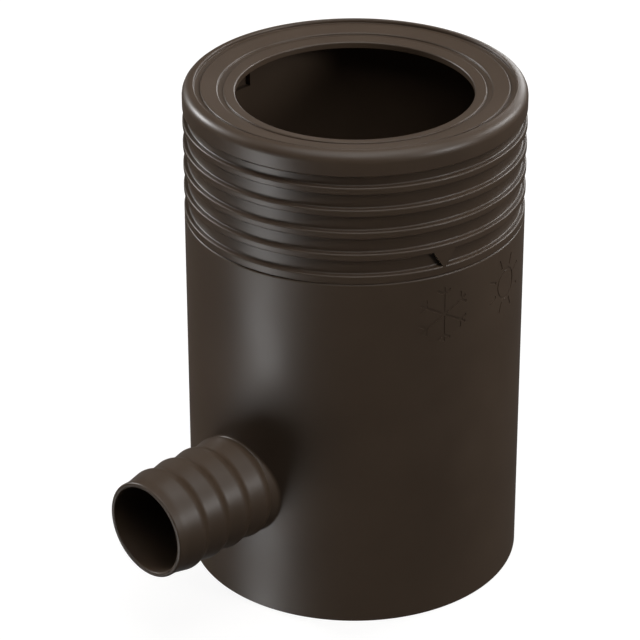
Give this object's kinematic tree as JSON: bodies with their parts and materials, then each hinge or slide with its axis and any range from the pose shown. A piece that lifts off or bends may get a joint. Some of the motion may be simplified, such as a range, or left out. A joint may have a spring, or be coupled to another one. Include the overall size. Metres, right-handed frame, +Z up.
{
  "type": "rainwater diverter",
  "caption": "Round downpipe diverter with a turning ribbed collar, a dished top cut to the pipe's size, a summer and winter shutter and a barbed hose tail.",
  "frame": {"origin": "on the axis of the round body, in the plane of its lower edge", "axes": "+Z up along the downpipe and the collar's turning axis, -Y out along the hose tail, +X towards the middle of the two season marks"},
  "size_m": [0.11, 0.1501, 0.1681],
  "materials": {
    "body_plastic": "satin",
    "collar_plastic": "satin",
    "seal_rubber": "matt"
  },
  "bodies": {
    "housing": {"body": "body_plastic", "hose_tail": "body_plastic", "outlet_seal": "seal_rubber"},
    "selector": {"collar": "collar_plastic"}
  },
  "joints": [
    {"name": "collar_turn", "type": "hinge", "parent": "housing", "child": "selector", "pos_m": [0, 0, 0.1239], "axis": [0, 0, 1], "range_deg": [0, 30]}
  ]
}
